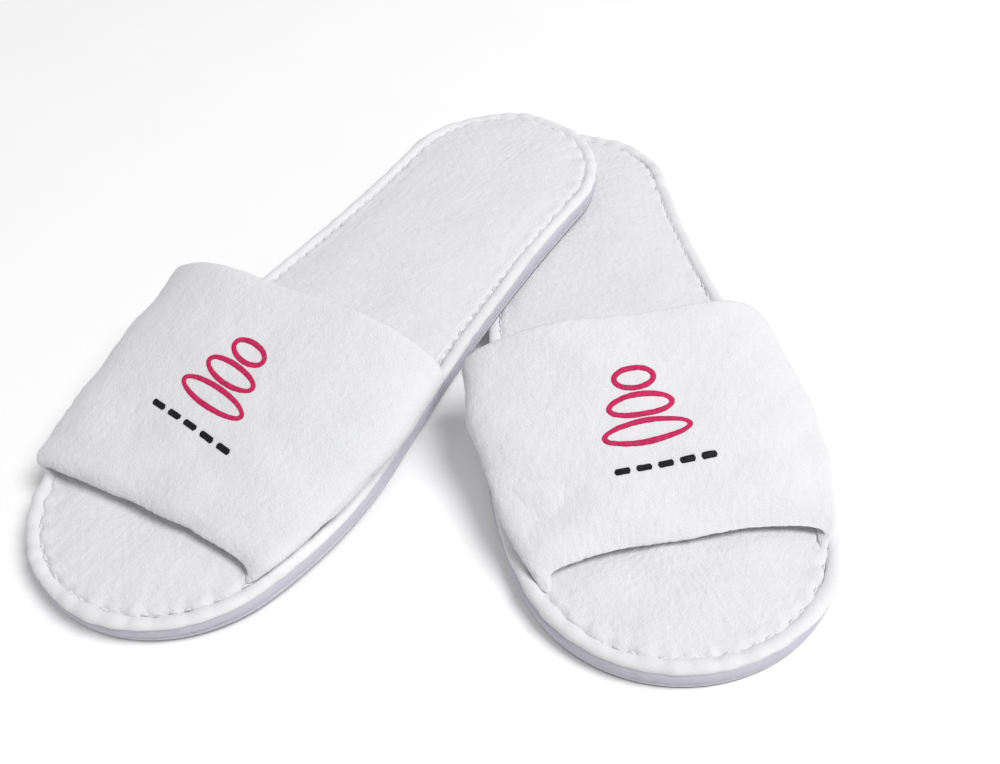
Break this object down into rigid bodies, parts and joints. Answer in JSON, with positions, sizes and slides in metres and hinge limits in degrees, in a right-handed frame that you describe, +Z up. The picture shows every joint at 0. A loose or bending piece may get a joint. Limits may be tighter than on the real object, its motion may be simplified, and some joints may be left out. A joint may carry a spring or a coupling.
{
  "type": "spa slippers",
  "caption": "Pair of open-toe terry spa slippers with padded band vamps, bound soft soles and thin foam outsoles, one heel resting on the other.",
  "frame": {"origin": "centre of the pair's bounding box, on the floor", "axes": "+Z up, toes towards -Y (the right slipper points almost straight along -Y, the left one turns about 37 degrees towards -X), +X to the right as seen from the toes' side"},
  "size_m": [0.2581, 0.2794, 0.0515],
  "materials": {
    "outsole_eva": "matte foamed EVA, lavender grey",
    "midsole_eva": "matte foamed EVA",
    "insole_foam": "matte soft foam",
    "terry": "white terry, soft pile",
    "terry_lining": "white terry, short pile",
    "vamp_foam": "matte soft foam",
    "binding_tape": "smooth white tape over a soft roll",
    "thread": "white sewing thread",
    "print_pink": "matte printed film",
    "print_dark": "matte printed film"
  },
  "bodies": {
    "right_front": {"right_outsole_front": "outsole_eva", "right_midsole_front": "midsole_eva", "right_insole_foam_front": "insole_foam", "right_insole_cover_front": "terry", "right_binding_front": "binding_tape", "right_seam_stitches_front": "thread", "right_vamp_cover": "terry", "right_vamp_foam": "vamp_foam", "right_vamp_lining": "terry_lining", "right_vamp_emblem": "print_pink", "right_vamp_dash_row": "print_dark"},
    "right_heel": {"right_outsole_heel": "outsole_eva", "right_midsole_heel": "midsole_eva", "right_insole_foam_heel": "insole_foam", "right_insole_cover_heel": "terry", "right_binding_heel": "binding_tape", "right_seam_stitches_heel": "thread"},
    "left_front": {"left_outsole_front": "outsole_eva", "left_midsole_front": "midsole_eva", "left_insole_foam_front": "insole_foam", "left_insole_cover_front": "terry", "left_binding_front": "binding_tape", "left_seam_stitches_front": "thread", "left_vamp_cover": "terry", "left_vamp_foam": "vamp_foam", "left_vamp_lining": "terry_lining", "left_vamp_emblem": "print_pink", "left_vamp_dash_row": "print_dark"},
    "left_heel": {"left_outsole_heel": "outsole_eva", "left_midsole_heel": "midsole_eva", "left_insole_foam_heel": "insole_foam", "left_insole_cover_heel": "terry", "left_binding_heel": "binding_tape", "left_seam_stitches_heel": "thread"}
  },
  "joints": [
    {"name": "right_sole_flex", "type": "hinge", "parent": "right_front", "child": "right_heel", "pos_m": [0.07065, -0.00598, 0.0097], "axis": [0.9972, 0.075, 0], "range_deg": [0, 45], "stiffness_Nm_per_rad": 0.05},
    {"name": "left_slipper_lift", "type": "slide", "parent": "right_front", "child": "left_front", "axis": [0, 0, 1], "range_m": [0, 0.15]},
    {"name": "left_sole_flex", "type": "hinge", "parent": "left_front", "child": "left_heel", "pos_m": [-0.02919, 0.00898, 0.01809], "axis": [0.8039, -0.5948, 0], "range_deg": [0, 45], "stiffness_Nm_per_rad": 0.05}
  ],
  "couplings": [
    {"joint": "left_sole_flex", "follows": "right_sole_flex", "ratio": 1}
  ]
}
